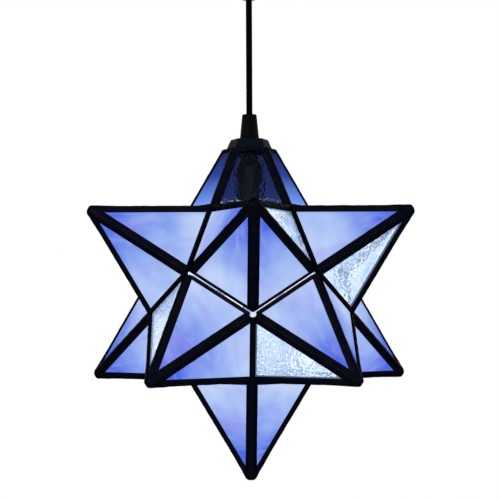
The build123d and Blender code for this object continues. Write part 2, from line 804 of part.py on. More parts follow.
def make_holder_inside():
    """The insert with its terminals, the cord's end, the threaded shell and the centre contact."""
    insert = rod_z(insert_seat_radius - insert_fit, insert_foot, insert_top)
    sheath_foot = holder_neck_foot - sheath_drop
    terminal_y = core_radius + terminal_screw_radius + thread_fit
    screws = []
    cores = []
    for side in (-1, 1):
        x = side * terminal_reach
        stem_foot = insert_top - terminal_stem_length
        head_top = insert_top + terminal_screw_height
        insert = insert - rod_z(
            terminal_stem_radius + thread_fit, stem_foot - thread_fit, insert_top + overcut, x, terminal_y
        )
        head = rod_z(terminal_screw_radius, insert_top, head_top, x, terminal_y)
        stem = rod_z(terminal_stem_radius, stem_foot, insert_top, x, terminal_y)
        slot = Box(3 * terminal_screw_radius, terminal_screw_slot, 2 * terminal_screw_slot)
        screws.append(head + stem - Pos(x, terminal_y, head_top) * slot)
        start_x = side * core_spacing / 2
        spread_top = sheath_foot - core_drop
        points = [
            (start_x, 0, sheath_foot),
            (start_x, 0, spread_top),
            (x, 0, spread_top - core_spread),
            (x, 0, insert_top),
        ]
        cores.append(bent_rod(points, core_radius, core_bend))
    save("holder_insert", insert)
    save("holder_terminal_screws", *screws)
    save("holder_cord_end", rod_z(cord_radius, sheath_foot, cord_foot), *cores)
    shell_bore = bulb_thread_radius + bulb_thread_fit
    shell_foot = insert_foot - shell_length
    save("holder_screw_shell", ring(shell_bore + shell_wall, shell_bore, shell_foot, insert_foot))
    top = (Align.CENTER, Align.CENTER, Align.MAX)
    plate = Box(contact_width, contact_length, contact_thickness, align=top)
    tongue = Box(contact_width, tongue_length, 2 * contact_thickness, align=top)
    save("holder_centre_contact", Pos(0, 0, insert_foot) * (plate + tongue))


# ---------------------------------------------------------------- bulb


def make_bulb_cap():
    eyelet = rod_z(bulb_eyelet_radius, bulb_insulator_top, bulb_top)
    insulator = turned(
        [
            (0, bulb_insulator_top),
            (bulb_insulator_top_radius, bulb_insulator_top),
            (bulb_insulator_foot_radius, bulb_insulator_foot),
            (0, bulb_insulator_foot),
        ]
    )
    save("bulb_contact", eyelet + insulator)
    bore = bulb_thread_radius - bulb_cap_wall
    side = ring(bulb_thread_radius, bore, bulb_cap_foot, bulb_insulator_foot)
    end_foot = bulb_insulator_foot - bulb_cap_wall
    end = ring(bulb_thread_radius, bulb_wire_hole_radius, end_foot, bulb_insulator_foot)
    save("bulb_screw_cap", side + end)


def make_bulb_body():
    waist = bulb_cap_foot - bulb_collar_waist_drop
    inside = bulb_collar_radius - bulb_collar_wall
    save(
        "bulb_collar",
        turned(
            [
                (inside, bulb_cap_foot),
                (bulb_collar_radius, bulb_cap_foot),
                (bulb_collar_waist_radius, waist),
                (bulb_seam_radius, bulb_collar_foot),
                (bulb_seam_radius - bulb_collar_wall, bulb_collar_foot),
                (inside, waist),
            ]
        ),
    )
    globe = Sphere(bulb_globe_radius) - Sphere(bulb_globe_radius - bulb_globe_wall)
    above = rod_z(2 * bulb_globe_radius, bulb_collar_foot, bulb_collar_foot + 2 * bulb_globe_radius)
    save("bulb_globe", Pos(0, 0, bulb_globe_z) * globe - above)
    print(f"bulb: {bulb_top - (bulb_globe_z - bulb_globe_radius):.1f} mm long")


# ---------------------------------------------------------------- build


def main():
    os.makedirs("parts", exist_ok=True)
    make_star()
    make_hinge()
    make_stops()
    make_cap()
    make_glands()
    make_cord()
    make_canopy()
    make_bracket()
    make_canopy_screws()
    make_ceiling_tube()
    make_terminal_block()
    make_canopy_cord_end()
    make_star_tube()
    make_holder_cap()
    make_holder_body()
    make_holder_inside()
    make_bulb_cap()
    make_bulb_body()
    print(f"star centre at z {star_z:.2f}, tips {tip_distance - tip_cut:.2f} from it")
    print(f"hinge line at y {hinge_y:.2f}, z {hinge_z:.2f}")


main()
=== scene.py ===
"""Dresses the frame of a glass star pendant: came, glass, cap, cord, ceiling fitting and bulb.

Lengths are in metres, in the frame's own axes: +Z up, the door point faces -Y, and the origin is
on the ceiling. A point of the star is worked out in its own axes first: the star's centre at the
origin, the point's tip on +Z and its base corners at 0, 72, 144... degrees. Pane k of a point
stands between base corners k and k + 1.
"""

import math
from functools import partial

import bmesh
import bpy
import numpy as np
from bpy.props import FloatProperty, FloatVectorProperty, PointerProperty
from mathutils import Matrix, Vector


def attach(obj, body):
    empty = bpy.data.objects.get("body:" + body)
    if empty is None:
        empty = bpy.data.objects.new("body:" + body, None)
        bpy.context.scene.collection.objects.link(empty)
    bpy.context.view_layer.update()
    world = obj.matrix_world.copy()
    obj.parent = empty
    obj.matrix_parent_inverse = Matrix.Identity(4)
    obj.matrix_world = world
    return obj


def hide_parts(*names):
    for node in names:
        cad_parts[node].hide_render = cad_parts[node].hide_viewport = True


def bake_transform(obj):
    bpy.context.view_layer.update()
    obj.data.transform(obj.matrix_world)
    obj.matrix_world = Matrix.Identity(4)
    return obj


bl_info = {
    "name": "Glass Star Pendant",
    "version": (1, 0, 0),
    "blender": (4, 5, 0),
    "location": "View3D > Sidebar > Star Pendant",
    "description": "Builds the came, glass, cord, fittings and light of a twelve-pointed star lamp",
    "category": "Object",
}

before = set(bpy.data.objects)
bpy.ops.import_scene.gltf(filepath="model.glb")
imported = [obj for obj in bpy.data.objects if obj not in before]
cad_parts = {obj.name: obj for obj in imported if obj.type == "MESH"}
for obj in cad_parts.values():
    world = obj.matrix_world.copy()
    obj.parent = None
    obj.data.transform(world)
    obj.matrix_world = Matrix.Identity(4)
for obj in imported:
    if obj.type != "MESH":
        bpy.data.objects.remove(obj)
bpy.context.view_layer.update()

# ---- the star's own geometry

GOLDEN = (1 + math.sqrt(5)) / 2
CORNER = math.radians(72)
HALF_CORNER = CORNER / 2
PENTAGON_EDGE = 0.073
BASE_CORNER_RADIUS = PENTAGON_EDGE / (2 * math.sin(HALF_CORNER))
BASE_APOTHEM = PENTAGON_EDGE / (2 * math.tan(HALF_CORNER))
POINT_HEIGHT = math.sqrt((PENTAGON_EDGE * GOLDEN) ** 2 - BASE_CORNER_RADIUS**2)
BASE_DISTANCE = BASE_APOTHEM * GOLDEN
TIP_DISTANCE = BASE_DISTANCE + POINT_HEIGHT
LEAN = math.atan(BASE_APOTHEM / POINT_HEIGHT)
PANE_HEIGHT = math.hypot(POINT_HEIGHT, BASE_APOTHEM)
TIP_HALF_ANGLE = math.atan(PENTAGON_EDGE / 2 / PANE_HEIGHT)
HALF_DIHEDRAL = (math.pi - math.atan(2)) / 2
RING_LEAN = math.atan(0.5)

CAP_OPENING_RADIUS = 0.0264
CAP_FOOT = -0.1963
CUT_HEIGHT = TIP_DISTANCE - CAP_OPENING_RADIUS * POINT_HEIGHT / BASE_CORNER_RADIUS
STAR_CENTRE = np.array([0.0, 0.0, CAP_FOOT - CUT_HEIGHT])
CENTRE = STAR_CENTRE.tolist()
PANE_CUT = (CUT_HEIGHT - BASE_DISTANCE) / math.cos(LEAN)

GLASS_THICKNESS = 0.003
GLASS_FIT = 0.0001
SLOT_DEPTH = GLASS_THICKNESS + 2 * GLASS_FIT
CAME_OUTER = 0.001
INNER_FLANGE = 0.0008
CAME_DEPTH = SLOT_DEPTH + INNER_FLANGE
HALF_HEART = 0.0008  # half of the metal between two panes that meet at a ridge
CAME_WEB = 0.0011  # metal between a pane's foot and the next point
RIDGE_INSET = SLOT_DEPTH / math.tan(HALF_DIHEDRAL) + HALF_HEART
VALLEY_INSET = CAME_WEB / math.sin(HALF_DIHEDRAL)
RIDGE_STRIP = 0.006
VALLEY_STRIP = 0.0033
TOP_STRIP = 0.0045
TOP_WEB = 0.0015
DOOR_GAP = 0.0022
DOOR_SHIFT = DOOR_GAP / math.sin(HALF_DIHEDRAL)
# base corner of the door: radius of the hole there
CORNER_HOLES = {0: 0.0032, 1: 0.0022, 4: 0.0032}
HOLE_AXIS = 0.0001  # points nearer than this to a hole's axis count as on it
HOLED_POINTS = ("door", "right_upper", "left_upper", "front_right_lower", "front_left_lower")
TIP_CUT = 0.0034
TIP_SWELL = 0.0007
TIP_SWELL_LENGTH = 0.025
TIP_BEAD_LENGTH = 0.0135
RING_SINK = 0.001  # how far under the tip's end the came rings stop
LIP_ROUNDS = (0.0002, 0.0006)  # how far the lip's last two points lie back
FLANGE_ROUND, FLANGE_BEVEL = 0.0004, 0.0003  # at the inner flange's edge, along it and into it
MITRE_EASE = 0.006  # length over which a side's heights turn into its mitre's
LUMP_FOOT, LUMP_RISE = 0.0001, 0.0005  # heights over the glass in which the lumps of solder grow
CAME_SPACING, HOLED_SPACING = 0.0028, 0.0012  # of the points along a came
# painted shade of the lampholder: over these heights the bare came is painted dark
PAINTED_SHADE_FOOT, PAINTED_SHADE_DEPTH = 0.078, 0.02  # heights over the star's centre in which the bare came darkens
PANE_TIP_GAP = 0.0012
EDGE_FADE = 0.01  # length over which the roll of a pane fades out at its foot and tip
ROLL_SPACING = 0.017
OPAL_GRID, OPAL_RELIEF = (30, 18), 0.0003  # rows and columns of a pane, and how deep its face rolls
CLEAR_GRID, CLEAR_RELIEF = (60, 40), 0.0006

# name: (azimuth in degrees, +1 upper ring or -1 lower ring, which pane is clear)
RING_POINTS = {
    "door": (0, 1, 1),
    "right_upper": (72, 1, 4),
    "back_right_upper": (144, 1, 0),
    "back_left_upper": (-144, 1, 3),
    "left_upper": (-72, 1, 3),
    "front_right_lower": (36, -1, 1),
    "right_lower": (108, -1, 3),
    "back_lower": (180, -1, 4),
    "left_lower": (-108, -1, 1),
    "front_left_lower": (-36, -1, 0),
}
END_POINTS = {"top": 2, "bottom": 2}
POINT_NAMES = [*RING_POINTS, *END_POINTS]

CORD_DIAMETER = 0.006
CORD_TOP = -0.052
CORD_MIDDLE = -0.090
CORD_FOOT = -0.163
CAP_HEIGHT = 0.0093
GLAND_HEIGHT, GLAND_WIDE, GLAND_NARROW = 0.024, 0.0093, 0.0069
CANOPY_HEIGHT = 0.028
FLOOR_RADIUS = 4.0


def point_axes(name):
    """A point's own X, Y and Z axes as the columns of a matrix."""
    if name == "top":
        along, outward = np.array([0.0, 1.0, 0.0]), np.array([0.0, 0.0, 1.0])
    elif name == "bottom":
        along, outward = np.array([0.0, -1.0, 0.0]), np.array([0.0, 0.0, -1.0])
    else:
        azimuth, side, _ = RING_POINTS[name]
        around = math.radians(azimuth)
        across = np.array([math.sin(around), -math.cos(around), 0.0])
        up = np.array([0.0, 0.0, side])
        outward = across * math.cos(RING_LEAN) + up * math.sin(RING_LEAN)
        along = across * math.sin(RING_LEAN) - up * math.cos(RING_LEAN)
    return np.stack([along, np.cross(outward, along), outward], axis=1)


def from_point(name, points):
    """Points given in a point's own axes, in the frame's."""
    return points @ point_axes(name).T + STAR_CENTRE


def on_pane(pane, across, up, out):
    """Places over a pane in its point's own axes: across it, up it from its foot and out from it.

    The foot's middle lies at the base's apothem, and the pane leans in by LEAN.
    """
    middle = HALF_CORNER + pane * CORNER
    reach = BASE_APOTHEM - up * math.sin(LEAN) + out * math.cos(LEAN)
    x = reach * math.cos(middle) - across * math.sin(middle)
    y = reach * math.sin(middle) + across * math.cos(middle)
    return np.stack([x, y, BASE_DISTANCE + up * math.cos(LEAN) + out * math.sin(LEAN)], axis=-1)


def clear_pane(name):
    """Which pane of a point is of clear glass."""
    return RING_POINTS[name][2] if name in RING_POINTS else END_POINTS[name]


def point_body(name):
    """The body that a point moves with."""
    return "door" if name == "door" else "star"


# ---- surfaces


def smooth_step(t):
    """0 below 0, 1 above 1, and 3t^2 - 2t^3 between."""
    t = np.clip(t, 0, 1)
    return t * t * (3 - 2 * t)


def unevenness(points, spacing):
    """A height from -1 to 1 at each point: the mean of five crossing sine waves, about spacing apart."""
    waves = np.array(
        [[0.9, 0.3, -0.2], [-0.4, 0.8, 0.5], [0.2, -0.6, 0.9], [0.7, 0.7, 0.6], [-0.8, 0.1, 0.9]]
    )
    phases = np.array([0.4, 2.1, 3.7, 5.2, 1.3])
    return np.sin(points @ waves.T * (2 * math.pi / spacing) + phases).mean(axis=-1)


def grid_quads(rows, columns, close_rows=False, close_columns=False):
    """The four corners of each cell of a grid that is stored row by row."""
    index = np.arange(rows * columns).reshape(rows, columns)
    if close_rows:
        index = np.vstack([index, index[:1]])
    if close_columns:
        index = np.hstack([index, index[:, :1]])
    cells = [index[:-1, :-1], index[:-1, 1:], index[1:, 1:], index[1:, :-1]]
    return np.stack(cells, axis=-1).reshape(-1, 4)


def facing_out(points, quads):
    """The quads of a closed surface, turned so that it encloses a positive volume."""
    a, b, c, d = (points[quads[:, k]] for k in range(4))
    volume = (np.cross(b - a, c - a) * a).sum() + (np.cross(c - a, d - a) * a).sum()
    return quads if volume > 0 else quads[:, ::-1]


def surface(grid, close_rows=False, close_columns=False):
    """A grid of points as (points, quads) of a closed surface."""
    rows, columns = grid.shape[:2]
    points = grid.reshape(-1, 3)
    return points, facing_out(points, grid_quads(rows, columns, close_rows, close_columns))


def softened(profile, radius, steps=5):
    """A closed profile with each corner replaced by a parabola that starts and ends radius from it."""
    corners = np.array(profile, float)
    before = np.roll(corners, 1, axis=0) - corners
    after = np.roll(corners, -1, axis=0) - corners
    length_before = np.linalg.norm(before, axis=1, keepdims=True)
    length_after = np.linalg.norm(after, axis=1, keepdims=True)
    reach = np.minimum(radius, 0.45 * np.minimum(length_before, length_after))
    start = corners + before / length_before * reach
    end = corners + after / length_after * reach
    t = np.linspace(0, 1, steps)[None, :, None]
    curve = (1 - t) ** 2 * start[:, None] + 2 * t * (1 - t) * corners[:, None] + t**2 * end[:, None]
    return curve.reshape(-1, 2)


def turned(profile, segments=72, closed=True, shape=None):
    """A profile of (radius, level) turned about the Z axis.

    shape(angle, radius, level) gives the radius at each place, where it isn't the profile's own.
    """
    profile = np.asarray(profile, float)
    angle = np.linspace(0, 2 * math.pi, segments, endpoint=False)[None, :]
    radius = profile[:, :1] + 0 * angle
    level = profile[:, 1:] + 0 * angle
    if shape is not None:
        radius = shape(angle, radius, level)
    grid = np.stack([radius * np.cos(angle), radius * np.sin(angle), level], axis=-1)
    return surface(grid, close_rows=closed, close_columns=True)


def moved(part, place):
    """A part carried by a 4 x 4 matrix that only turns and moves it."""
    place = np.array(place)
    points, quads = part
    return points @ place[:3, :3].T + place[:3, 3], quads


def add_piece(
    name, parts, material, body, nodes=(), merge=False, sharp=35.0, lamp_side=None
):
    """One mesh object made of parts, each (points, quads), that moves with a body.

    lamp_side gives each point 1 where it faces the bulb and 0 outside, which its material reads.
    """
    starts = np.cumsum([0] + [len(points) for points, _ in parts[:-1]])
    points = np.concatenate([part[0] for part in parts])
    quads = np.concatenate([part[1] + start for part, start in zip(parts, starts)])
    mesh = bpy.data.meshes.new(name)
    mesh.vertices.add(len(points))
    mesh.vertices.foreach_set("co", points.astype(np.float32).ravel())
    mesh.loops.add(quads.size)
    mesh.loops.foreach_set("vertex_index", quads.astype(np.int32).ravel())
    mesh.polygons.add(len(quads))
    mesh.polygons.foreach_set("loop_start", np.arange(0, quads.size, 4, dtype=np.int32))
    mesh.update(calc_edges=True)
    if lamp_side is not None:
        field = mesh.attributes.new("lamp_side", "FLOAT", "POINT")
        field.data.foreach_set("value", np.asarray(lamp_side, np.float32))
    if merge:
        shell = bmesh.new()
        shell.from_mesh(mesh)
        bmesh.ops.remove_doubles(shell, verts=shell.verts, dist=1e-6)
        shell.to_mesh(mesh)
        shell.free()
    mesh.validate()
    mesh.shade_smooth()
    mesh.set_sharp_from_angle(angle=math.radians(sharp))
    mesh.materials.append(material)
    piece = bpy.data.objects.new(name, mesh)
    bpy.context.scene.collection.objects.link(piece)
    if nodes:
        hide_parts(*nodes)
    if body:
        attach(piece, body)
    return piece


def add_sheet_map(piece, places):
    """Gives a piece a UV map from one (u, v) for each vertex."""
    mesh = piece.data
    corners = np.zeros(len(mesh.loops), np.int32)
    mesh.loops.foreach_get("vertex_index", corners)
    sheet = mesh.uv_layers.new(name="sheet")
    sheet.data.foreach_set("uv", np.asarray(places, np.float32)[corners].ravel())


def finish_nodes(material, *names):
    """Gives carried-over nodes of the frame a material."""
    for name in names:
        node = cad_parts[name]
        node.data.materials.clear()
        node.data.materials.append(material)


# ---- materials


def linear(hex_colour):
    """An sRGB hex colour as linear RGBA."""
    srgb = np.array([int(hex_colour[start : start + 2], 16) for start in (1, 3, 5)]) / 255
    value = np.where(srgb <= 0.04045, srgb / 12.92, ((srgb + 0.055) / 1.055) ** 2.4)
    return (*value.tolist(), 1.0)


def set_inputs(material, node, inputs):
    """Sets a node's inputs to values, or links them where a socket is given."""
    for name, value in inputs.items():
        if isinstance(value, bpy.types.NodeSocket):
            material.node_tree.links.new(value, node.inputs[name])
        else:
            node.inputs[name].default_value = value
    return material


def add_node(material, kind, inputs=None, **settings):
    """Adds a node with its settings and inputs."""
    node = material.node_tree.nodes.new("ShaderNode" + kind)
    for name, value in settings.items():
        setattr(node, name, value)
    set_inputs(material, node, inputs or {})
    return node


def start_material(name, viewport="#808080"):
    """An empty node material, with its Principled shader and its Object coordinates."""
    material = bpy.data.materials.new(name)
    material.use_nodes = True
    material.node_tree.nodes.clear()
    material.diffuse_color = linear(viewport)
    shader = add_node(material, "BsdfPrincipled")
    add_node(material, "OutputMaterial", {"Surface": shader.outputs["BSDF"]})
    places = add_node(material, "TexCoord").outputs["Object"]
    return material, shader, places


def speckle(material, places, spacing, detail=2.0, **inputs):
    """Noise whose features are about spacing apart."""
    values = {"Vector": places, "Scale": 1 / spacing, "Detail": detail, **inputs}
    return add_node(material, "TexNoise", values).outputs["Fac"]


def mix(material, factor, first, second):
    """A colour between two colours, which are values or sockets."""
    return add_node(material, "Mix", {0: factor, 6: first, 7: second}, data_type="RGBA").outputs[2]


def two_tone(material, factor, dark, light):
    """A colour between two hex colours."""
    return mix(material, factor, linear(dark), linear(light))


def between(material, value, low, high, to_low=0.0, to_high=1.0):
    """A value carried from one range to another and held inside it."""
    inputs = {"Value": value, "From Min": low, "From Max": high, "To Min": to_low, "To Max": to_high}
    return add_node(material, "MapRange", inputs).outputs["Result"]


def bumps(material, height, distance):
    """A normal for a height from 0 to 1 that stands for distance."""
    inputs = {"Height": height, "Distance": distance, "Strength": 1.0}
    return add_node(material, "Bump", inputs).outputs["Normal"]


def roughness(material, noise, low, high):
    """A roughness that follows a noise."""
    return between(material, noise, 0.3, 0.7, low, high)


def level_of(material, places):
    """The height of a place."""
    return add_node(material, "SeparateXYZ", {"Vector": places}).outputs["Z"]


def lamp_side_of(material):
    """1 where a point faces the bulb, from the mesh's attribute."""
    return add_node(material, "Attribute", attribute_name="lamp_side").outputs["Fac"]


def sheet_of(material):
    """The places on a glass sheet, from the mesh's UV map."""
    return add_node(material, "UVMap", uv_map="sheet").outputs["UV"]


def in_shade(material, places, settings, start=0.0, end=0.25):
    """0 under the lampholder's shade and 1 in it, growing between two shares of its depth."""
    foot, depth = CENTRE[2] + settings.shade_foot, settings.shade_depth
    return between(material, level_of(material, places), foot + start * depth, foot + end * depth)


# finishes whose colour, roughness and bumps all follow one noise. For each: viewport colour, spacing,
# detail and distortion of the noise, how much of it runs along Z, dark and light colour, least and
# greatest roughness, depth of the bumps, and the shader's other inputs
GRAINED = {
    # moulded with a fine spark grain that leaves it matt
    "Black moulded nylon": (
        "#0D0D0F", 0.0006, 3.0, 0.0, 1.0, "#030307", "#07070C", 0.52, 0.66, 0.00005,
        {"Specular IOR Level": 0.03},
    ),
    # extruded, so its faint marks run along the cord
    "Black PVC sheath": (
        "#0B0B0D", 0.0012, 2.0, 0.0, 0.06, "#020202", "#040405", 0.44, 0.54, 0.00001,
        {"Specular IOR Level": 0.01},
    ),
    # with its mill shine, a little dulled by heat from the bulb
    "Pressed brass": (
        "#C8A55A", 0.004, 3.0, 0.0, 1.0, "#B08A45", "#D8BA72", 0.2, 0.36, 0.00003, {"Metallic": 1.0}
    ),
    # pressed in a polished tool, with a soft gloss and faint flow marks
    "Black phenolic": (
        "#101012", 0.01, 4.0, 0.8, 1.0, "#060912", "#0B101C", 0.24, 0.36, 0.00003,
        {"Specular IOR Level": 0.06},
    ),
    # heat-resistant, with a slight warmth and fine grain
    "White moulded thermoplastic": (
        "#E4E1DA", 0.0008, 3.0, 0.0, 1.0, "#DCD8CF", "#ECEAE4", 0.38, 0.5, 0.00003, {}
    ),
    # thin, with its thread rolled in, bright on the crests
    "Rolled aluminium": (
        "#C9C9C7", 0.003, 3.0, 0.0, 1.0, "#B9B9B7", "#DADAD8", 0.22, 0.38, 0.00002, {"Metallic": 1.0}
    ),
}


def grained(name):
    """Makes one of the finishes in GRAINED."""
    viewport, spacing, detail, distortion, along, dark, light, low, high, depth, others = GRAINED[name]
    material, shader, places = start_material(name, viewport)
    if along != 1.0:
        drawn = add_node(material, "Mapping", {"Vector": places, "Scale": (1.0, 1.0, along)})
        places = drawn.outputs["Vector"]
    noise = speckle(material, places, spacing, detail, Distortion=distortion)
    inputs = {
        "Base Color": two_tone(material, noise, dark, light),
        "Roughness": roughness(material, noise, low, high),
        "Normal": bumps(material, noise, depth),
    }
    return set_inputs(material, shader, {**inputs, **others})


def patina_on_came():
    """Brass came and its solder, blackened with patina.

    The acid leaves it nearly black, browner where it took thinly, with a soft sheen on the solder.
    The film of patina dulls the metal's edge, which the specular tint stands for. The side that faces
    the bulb has no patina, so the glow lights it up; round the lampholder it is painted with the
    patina's dark colour instead, as painted shade.
    """
    material, shader, places = start_material("Black patina on soldered came", "#16130F")
    thin = between(material, speckle(material, places, 0.012, 4.0), 0.45, 0.75)
    patina = two_tone(material, thin, "#080B16", "#121012")
    # painted shade: round the lampholder the bare side facing the bulb is painted with the patina's
    # colour
    painted_shade_start = CENTRE[2] + PAINTED_SHADE_FOOT
    out_of_painted_shade = between(material, level_of(material, places), painted_shade_start, painted_shade_start + PAINTED_SHADE_DEPTH, 1.0, 0.0)
    bare = {0: lamp_side_of(material), 1: out_of_painted_shade}
    bare = add_node(material, "Math", bare, operation="MULTIPLY").outputs["Value"]
    inputs = {
        "Base Color": mix(material, bare, patina, linear("#E4E8EE")),
        "Metallic": 1.0,
        "Specular Tint": linear("#9A9A9E"),
        "Roughness": roughness(material, speckle(material, places, 0.005), 0.34, 0.5),
        "Normal": bumps(material, speckle(material, places, 0.0022, 3.0), 0.00012),
    }
    return set_inputs(material, shader, inputs)


def opal_glass(settings):
    """Wispy opal sheet glass, rolled, with the bulb's light behind it painted in as a glow.

    Its glow is painted light: ice blue near the bulb, turning to a deeper blue towards the tips, clouded
    where the melt was stirred; violet wisps and paler threads run along the sheet. Round the lampholder
    it falls into painted shade. The side that faces the bulb is painted paler, as painted light.
    """
    material, shader, places = start_material("Wispy opal sheet glass", "#8FA8EE")
    sheet = sheet_of(material)
    stretched = add_node(material, "Mapping", {"Vector": sheet, "Scale": (1.0, 0.3, 1.0)})
    stretched = stretched.outputs["Vector"]
    wisps = speckle(material, stretched, 0.024, 2.5, Distortion=0.9, Roughness=0.45)
    clouds = speckle(material, sheet, 0.038, 2.0)
    threads = speckle(material, stretched, 0.011, 2.0, Distortion=0.7)
    blend = partial(mix, material)

    # painted light: the glow is emission, brightest near the star's centre and fading towards the tips
    reach = add_node(material, "VectorMath", {0: places, 1: CENTRE}, operation="DISTANCE")
    near = between(material, reach.outputs["Value"], settings.glow_near, settings.glow_far, 1.0, 0.0)
    drift = between(material, clouds, 0.25, 0.75, -0.22, 0.22)
    light = add_node(material, "Math", {0: near, 1: drift}, operation="ADD").outputs["Value"]
    glow = blend(between(material, light, 0.0, 0.5), settings.deep_colour, settings.middle_colour)
    glow = blend(between(material, light, 0.5, 1.0), glow, settings.pale_colour)
    glow = blend(between(material, wisps, 0.5, 0.74, 0.0, 0.6), glow, settings.violet_colour)
    glow = blend(between(material, threads, 0.5, 0.8, 0.0, 0.35), glow, settings.thread_colour)
    # painted shade of the lampholder laid over the glow, in three steps
    for start, end, shade in (
        (0.0, 0.25, settings.evening_colour),
        (0.25, 0.65, settings.dusk_colour),
        (0.65, 1.0, settings.shade_colour),
    ):
        glow = blend(in_shade(material, places, settings, start, end), glow, shade)
    # painted light on the side that faces the bulb, turning to painted shade round the lampholder
    lit = blend(between(material, clouds, 0.35, 0.62), settings.lit_low_colour, settings.lit_colour)
    lit = blend(in_shade(material, places, settings), lit, settings.shaded_side_colour)
    inputs = {
        "Base Color": two_tone(material, wisps, "#161F4A", "#263468"),
        "Roughness": roughness(material, clouds, 0.22, 0.34),
        "IOR": 1.52,
        "Specular IOR Level": 0.0,
        "Emission Color": blend(lamp_side_of(material), glow, lit),
        "Emission Strength": settings.glow_strength,
        "Normal": bumps(material, speckle(material, sheet, 0.016, 1.0), 0.0002),
    }
    return set_inputs(material, shader, inputs)


def hammered_glass(settings):
    """Clear cathedral glass with a hammered face, from a patterned roller.

    Each dimple bends the lit glass behind it, and the rims of the dimples are a little greyer, so the
    pane sparkles silver and grey-blue. Below the lampholder a faint painted glow stands for the bulb's
    light that it scatters; higher up the glow turns to painted shade.
    """
    material, shader, places = start_material("Clear hammered glass", "#C9D6EA")
    sheet = sheet_of(material)
    cells = {"Vector": sheet, "Scale": 1 / settings.hammer_spacing, "Smoothness": 0.5, "Randomness": 0.9}
    dimples = add_node(material, "TexVoronoi", cells, feature="SMOOTH_F1").outputs["Distance"]
    specks = between(material, speckle(material, sheet, 0.0026, 3.0, Roughness=0.6), 0.45, 0.68)
    inputs = {
        "Base Color": two_tone(material, specks, "#FAFEFF", "#C6D6EE"),
        "Roughness": 0.1,
        "IOR": 1.5,
        "Specular IOR Level": 0.1,
        "Specular Tint": linear("#30343C"),
        "Transmission Weight": 1.0,
        # painted light: faint emission for the bulb's scattered light, turning to painted shade round the
        # lampholder
        "Emission Color": two_tone(material, in_shade(material, places, settings), "#A8C4F4", "#04060E"),
        "Emission Strength": settings.scatter_strength,
        "Normal": bumps(material, dimples, settings.hammer_depth),
    }
    return set_inputs(material, shader, inputs)


def powder_coat():
    """Black satin powder coat on steel: baked on, with a fine orange peel and a little dust."""
    material, shader, places = start_material("Black powder coat", "#0E0E10")
    peel = speckle(material, places, 0.0009, 2.0)
    dust = between(material, speckle(material, places, 0.03, 4.0), 0.35, 0.75)
    inputs = {
        "Base Color": two_tone(material, dust, "#0E131F", "#161C28"),
        "Roughness": roughness(material, peel, 0.44, 0.58),
        "Specular IOR Level": 0.01,
        "Normal": bumps(material, peel, 0.00006),
    }
    return set_inputs(material, shader, inputs)


def plated_steel():
    """Steel with bright zinc plate, which is faintly blotched and brushed by handling."""
    material, shader, places = start_material("Zinc-plated steel", "#B4B7BA")
    blotch = speckle(material, places, 0.006, 4.0)
    inputs = {
        "Base Color": two_tone(material, blotch, "#A9ADB1", "#CBCED1"),
        "Metallic": 1.0,
        "Roughness": roughness(material, blotch, 0.24, 0.4),
        "Normal": bumps(material, speckle(material, places, 0.0007, 2.0), 0.00002),
    }
    return set_inputs(material, shader, inputs)


def milky_bulb_glass(settings):
    """Blown bulb glass, white inside, lit: it glows evenly, a little less at the rim."""
    material, shader, places = start_material("Milky bulb glass", "#F4F6FF")
    rim = add_node(material, "LayerWeight", {"Blend": 0.35}).outputs["Facing"]
    cloud = speckle(material, places, 0.012, 2.0)
    inputs = {
        "Base Color": two_tone(material, cloud, "#EDEFF6", "#FBFBFD"),
        "Roughness": roughness(material, cloud, 0.12, 0.2),
        "Emission Color": two_tone(material, rim, "#FFFFFF", "#DDE6FF"),
        "Emission Strength": settings.bulb_strength,
    }
    return set_inputs(material, shader, inputs)


# ---- settings


def length(name, description, default, **limits):
    """A length property in metres."""
    return FloatProperty(
        name=name, description=description, default=default, unit="LENGTH", precision=4, **limits
    )


def number(name, description, default, **kind):
    """A number property of 0 or more."""
    return FloatProperty(name=name, description=description, default=default, min=0, **kind)


def angle(name, description, degrees):
    """An angle property with its default in degrees."""
    default = math.radians(degrees)
    return FloatProperty(name=name, description=description, default=default, subtype="ANGLE")


def colour(name, description, default):
    """A colour property with an sRGB hex default."""
    kind = {"size": 4, "subtype": "COLOR", "min": 0, "max": 1}
    return FloatVectorProperty(name=name, description=description, default=linear(default), **kind)


class CameSettings(bpy.types.PropertyGroup):
    ridge_round: length("Ridge round", "Radius of the solder over each ridge", 0.0020, min=0)
    valley_round: length("Valley round", "Radius of the solder in each valley", 0.0015, min=0)
    lump_height: length("Lump height", "How uneven the hand-laid solder is", 0.00022, min=0)
    lump_spacing: length("Lump spacing", "Distance between two lumps of solder", 0.012, min=0.001)


